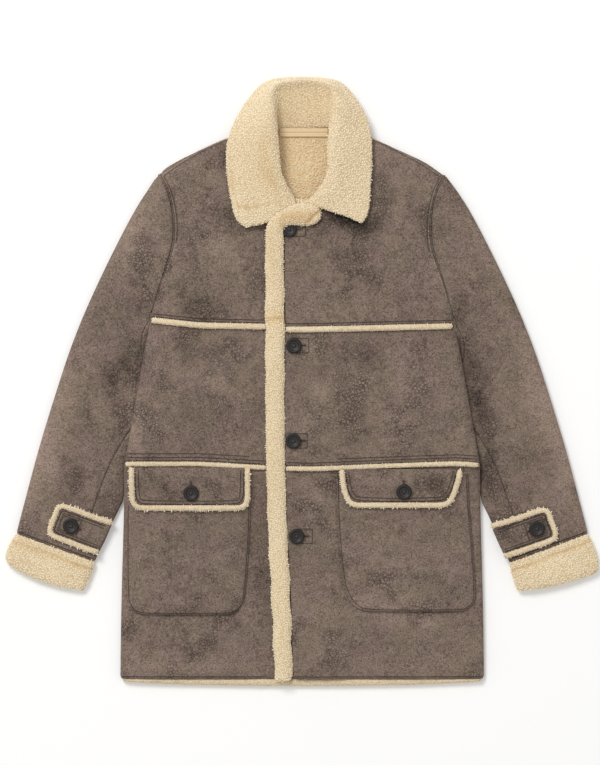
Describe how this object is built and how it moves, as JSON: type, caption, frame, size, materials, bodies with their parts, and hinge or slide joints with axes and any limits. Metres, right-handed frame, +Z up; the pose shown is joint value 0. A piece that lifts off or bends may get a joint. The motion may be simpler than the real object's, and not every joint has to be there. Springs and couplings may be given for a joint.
{
  "type": "sherpa coat",
  "caption": "Men's car coat of distressed suede and curly pile, laid flat with the front up: turned-down pile collar, patch pockets with flaps, pile cuffs with tabs.",
  "frame": {"origin": "middle of the coat's outline, on the surface that its back lies on", "axes": "+X to the viewer's right (the wearer's left), +Y from hem to collar, +Z up off the surface, the way the front faces"},
  "size_m": [0.9508, 0.9744, 0.0432],
  "materials": {
    "suede": "distressed suede face, matt, with darker rubbed creases",
    "pile": "curly cream pile, matt",
    "tape": "flat woven tape, matt",
    "horn": "dark horn-like buttons, satin"
  },
  "bodies": {
    "root": {"front_left_upper": "suede", "front_left_middle": "suede", "front_left_lower": "suede", "front_right_upper": "suede", "front_right_middle": "suede", "front_right_lower": "suede", "back": "suede", "sleeve_left_top": "suede", "sleeve_left_under": "suede", "sleeve_right_top": "suede", "sleeve_right_under": "suede", "front_strip": "pile", "hem_pile": "pile", "collar": "pile", "neck_tape": "tape", "chest_trim_left": "pile", "waist_trim_left": "pile", "pocket_left": "suede", "flap_left": "suede", "flap_edge_left": "pile", "cuff_left": "pile", "cuff_tab_left": "suede", "cuff_tab_edge_left": "pile", "chest_trim_right": "pile", "waist_trim_right": "pile", "pocket_right": "suede", "flap_right": "suede", "flap_edge_right": "pile", "cuff_right": "pile", "cuff_tab_right": "suede", "cuff_tab_edge_right": "pile", "button_front_1": "horn", "button_front_2": "horn", "button_front_3": "horn", "button_front_4": "horn", "button_flap_left": "horn", "button_flap_right": "horn", "button_cuff_left": "horn", "button_cuff_right": "horn"}
  },
  "joints": []
}
